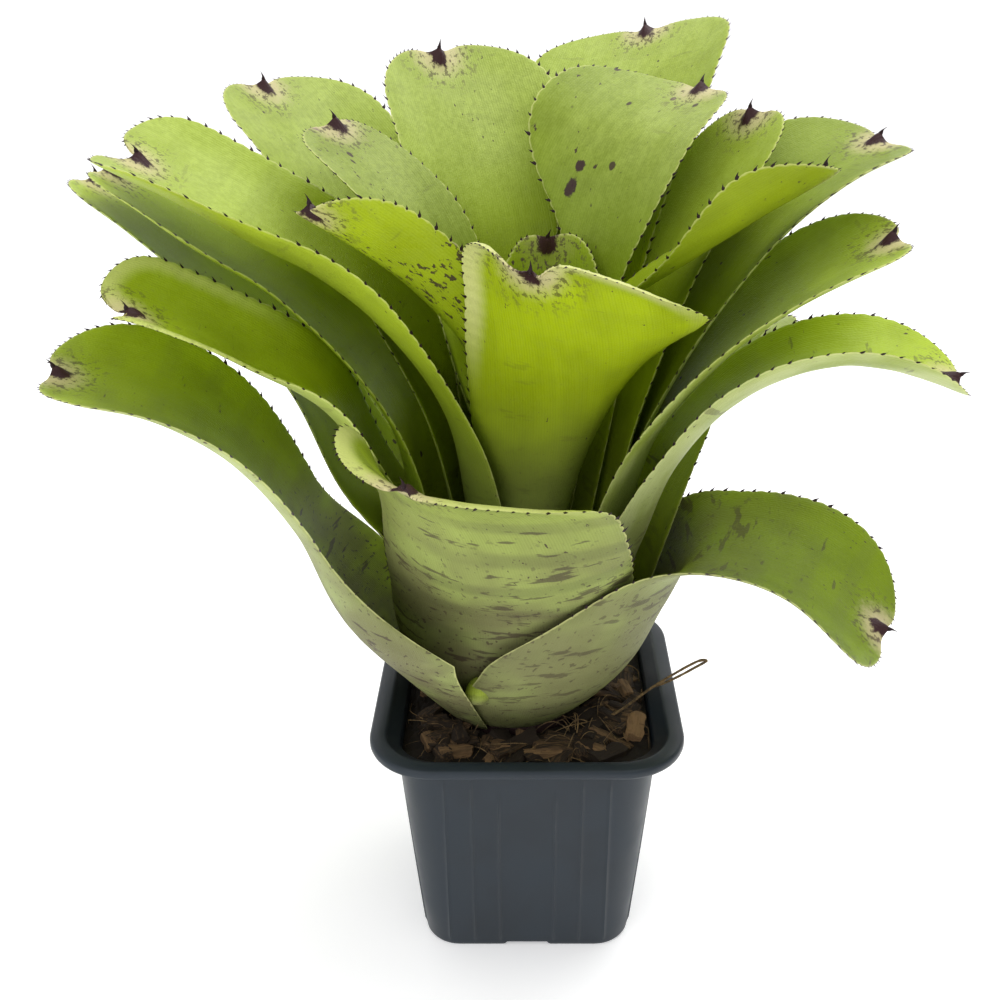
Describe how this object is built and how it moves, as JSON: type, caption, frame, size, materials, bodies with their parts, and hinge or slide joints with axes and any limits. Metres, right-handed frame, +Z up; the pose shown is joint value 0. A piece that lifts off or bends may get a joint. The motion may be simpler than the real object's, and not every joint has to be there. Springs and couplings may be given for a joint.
{
  "type": "potted bromeliad",
  "caption": "Bromeliad rosette of cupped, spine-edged strap leaves standing in a square tapered plastic nursery pot.",
  "frame": {"origin": "middle of the pot's flat base, on the surface that it stands on", "axes": "+Z up, +X to the right of the front view, +Y away from it"},
  "size_m": [0.2719, 0.2131, 0.2898],
  "materials": {
    "pot_plastic": "satin, moulded",
    "husk": "rough, fibrous",
    "root": "dry",
    "stem": "matt",
    "leaf_inner": "waxy, satin",
    "leaf_middle": "waxy, satin",
    "leaf_outer": "waxy with a thin silvery bloom"
  },
  "bodies": {
    "root": {"pot": "pot_plastic", "potting_mix": "husk", "loose_root": "root", "stem": "stem", "leaf_heart_right": "leaf_inner", "leaf_heart_back": "leaf_inner", "leaf_cup_left": "leaf_inner", "leaf_inner_back_left": "leaf_inner", "leaf_cup_front": "leaf_inner", "leaf_inner_back_right": "leaf_inner", "leaf_tall_back": "leaf_inner", "leaf_upper_left": "leaf_middle", "leaf_tall_right": "leaf_middle", "leaf_upper_back_left": "leaf_middle", "leaf_mid_back_right": "leaf_middle", "leaf_upper_right": "leaf_middle", "leaf_mid_right": "leaf_middle", "leaf_behind_back": "leaf_middle", "leaf_mid_left": "leaf_middle", "leaf_lower_right": "leaf_middle", "leaf_lower_left": "leaf_middle", "leaf_under_left": "leaf_outer", "leaf_hidden_back_left": "leaf_outer", "leaf_hidden_back_right": "leaf_outer", "leaf_hidden_back": "leaf_outer", "leaf_outer_front": "leaf_outer", "leaf_outer_right": "leaf_outer", "leaf_outer_left": "leaf_outer"}
  },
  "joints": []
}
